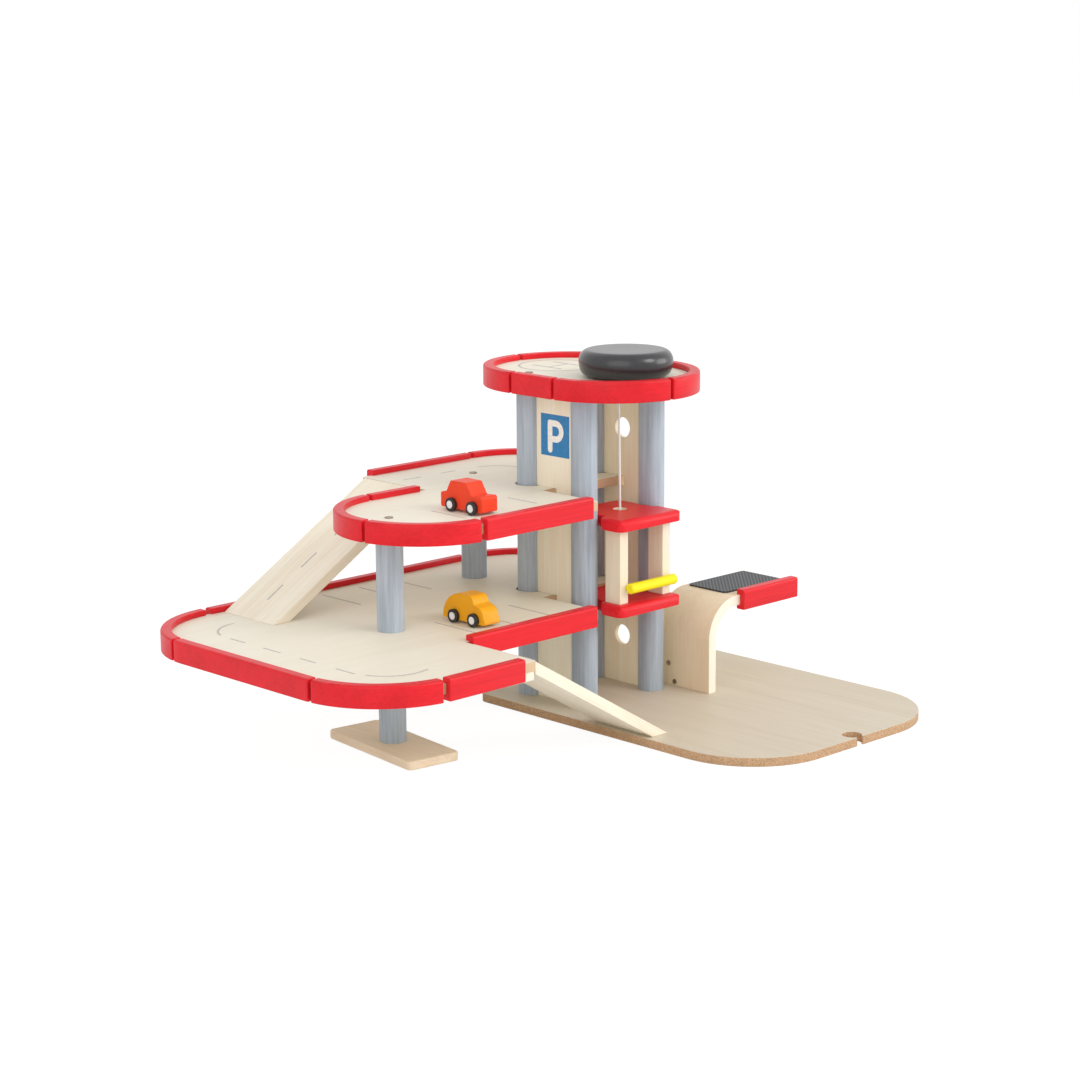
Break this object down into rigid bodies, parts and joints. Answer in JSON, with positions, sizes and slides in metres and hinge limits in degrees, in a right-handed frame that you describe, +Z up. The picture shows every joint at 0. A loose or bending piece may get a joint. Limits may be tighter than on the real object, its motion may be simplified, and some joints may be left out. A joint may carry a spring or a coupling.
{
  "type": "toy parking garage with lift",
  "caption": "Toy wooden parking garage with railed decks, ramps, a bent fuel-stop bench, cars, and a cord lift in a column tower worked by a round roof knob.",
  "frame": {"origin": "axis of the tower's front left column, on the ground", "axes": "+Z up; -Y the front of the lift, where it opens onto the floor board; +X towards the bench"},
  "size_m": [0.747, 0.5645, 0.4185],
  "materials": {
    "maple_board": "pale plywood with a fine grain, clear satin varnish",
    "brown_board": "light brown pressed wood, satin",
    "red_stain": "red stained and varnished wood",
    "grey_stain": "blue-grey stained round wood, satin",
    "yellow_stain": "yellow painted wood, satin",
    "black_knob": "black painted turned wood, satin",
    "cord": "white twisted cord",
    "steel": "plain steel screws",
    "dark_mat": "dark grey mat with small bumps",
    "car_red": "orange-red stained wood, satin",
    "car_yellow": "golden yellow stained wood, satin",
    "tyre_black": "black rubber"
  },
  "bodies": {
    "garage": {"base_board": "brown_board", "column_front_left": "grey_stain", "column_back_left": "grey_stain", "column_front_right": "grey_stain", "column_back_right": "grey_stain", "sign_panel": "maple_board", "window_panel": "maple_board", "lower_deck": "maple_board", "middle_deck": "maple_board", "top_deck": "maple_board", "rail_lower_left": "red_stain", "rail_lower_back_left": "red_stain", "rail_lower_back": "red_stain", "rail_lower_back_right": "red_stain", "rail_lower_front_left": "red_stain", "rail_lower_front": "red_stain", "rail_lower_tower": "red_stain", "rail_middle_front": "red_stain", "rail_middle_front_left": "red_stain", "rail_middle_left": "red_stain", "rail_middle_inner": "red_stain", "rail_middle_back": "red_stain", "rail_middle_back_right": "red_stain", "rail_roof_left": "red_stain", "rail_roof_back_left": "red_stain", "rail_roof_front": "red_stain", "rail_roof_right": "red_stain", "rail_roof_back": "red_stain", "leg_left": "grey_stain", "leg_back": "grey_stain", "foot_column": "grey_stain", "foot_plate": "brown_board", "deck_bolts": "steel", "lift_cord": "cord", "bench": "maple_board", "bench_mat": "dark_mat", "bench_rail": "red_stain", "bench_screws": "steel", "ledge_lower": "maple_board", "ledge_upper": "maple_board"},
    "lift": {"lift_floor": "red_stain", "lift_roof": "red_stain", "lift_post_left": "maple_board", "lift_post_right": "maple_board"},
    "barrier": {"lift_barrier": "yellow_stain"},
    "knob": {"lift_knob": "black_knob"},
    "lower_ramp": {"ramp_lower": "maple_board"},
    "upper_ramp": {"ramp_upper": "maple_board"},
    "red_car": {"red_car_body": "car_red"},
    "red_car_front_wheels_set": {"red_car_front_wheels": "tyre_black"},
    "red_car_rear_wheels_set": {"red_car_rear_wheels": "tyre_black"},
    "yellow_car": {"yellow_car_body": "car_yellow"},
    "yellow_car_front_wheels_set": {"yellow_car_front_wheels": "tyre_black"},
    "yellow_car_rear_wheels_set": {"yellow_car_rear_wheels": "tyre_black"}
  },
  "joints": [
    {"name": "knob_turn", "type": "hinge", "parent": "garage", "child": "knob", "pos_m": [0.055, -0.012, 0.39], "axis": [0, 0, 1], "range_deg": [-532.37, 594.44]},
    {"name": "lift_slide", "type": "slide", "parent": "garage", "child": "lift", "axis": [0, 0, 1], "range_m": [-0.1115, 0.1245], "deforming": ["lift_cord"]},
    {"name": "barrier_swing", "type": "hinge", "parent": "lift", "child": "barrier", "pos_m": [0.024, -0.0493, 0.1525], "axis": [0, -1, 0], "range_deg": [0, 55]},
    {"name": "lower_ramp_lift", "type": "slide", "parent": "garage", "child": "lower_ramp", "axis": [0, 0, 1], "range_m": [0, 0.06]},
    {"name": "upper_ramp_lift", "type": "slide", "parent": "garage", "child": "upper_ramp", "axis": [0, 0, 1], "range_m": [0, 0.06]},
    {"name": "red_car_drive", "type": "slide", "parent": "garage", "child": "red_car", "axis": [0, 1, 0], "range_m": [-0.02, 0.06]},
    {"name": "red_car_front_wheels_spin", "type": "hinge", "parent": "red_car", "child": "red_car_front_wheels_set", "pos_m": [-0.1585, 0, 0.2668], "axis": [1, 0, 0], "range_deg": [-458.37, 152.79]},
    {"name": "red_car_rear_wheels_spin", "type": "hinge", "parent": "red_car", "child": "red_car_rear_wheels_set", "pos_m": [-0.1585, 0.033, 0.2668], "axis": [1, 0, 0], "range_deg": [-458.37, 152.79]},
    {"name": "yellow_car_drive", "type": "slide", "parent": "garage", "child": "yellow_car", "axis": [0, 1, 0], "range_m": [-0.015, 0.06]},
    {"name": "yellow_car_front_wheels_spin", "type": "hinge", "parent": "yellow_car", "child": "yellow_car_front_wheels_set", "pos_m": [-0.1585, 0, 0.1423], "axis": [1, 0, 0], "range_deg": [-458.37, 114.59]},
    {"name": "yellow_car_rear_wheels_spin", "type": "hinge", "parent": "yellow_car", "child": "yellow_car_rear_wheels_set", "pos_m": [-0.1585, 0.0315, 0.1423], "axis": [1, 0, 0], "range_deg": [-458.37, 114.59]}
  ],
  "couplings": [
    {"joint": "lift_slide", "follows": "knob_turn", "m_per_rad": 0.012},
    {"joint": "red_car_front_wheels_spin", "follows": "red_car_drive", "rad_per_m": -133.33},
    {"joint": "red_car_rear_wheels_spin", "follows": "red_car_drive", "rad_per_m": -133.33},
    {"joint": "yellow_car_front_wheels_spin", "follows": "yellow_car_drive", "rad_per_m": -133.33},
    {"joint": "yellow_car_rear_wheels_spin", "follows": "yellow_car_drive", "rad_per_m": -133.33}
  ]
}
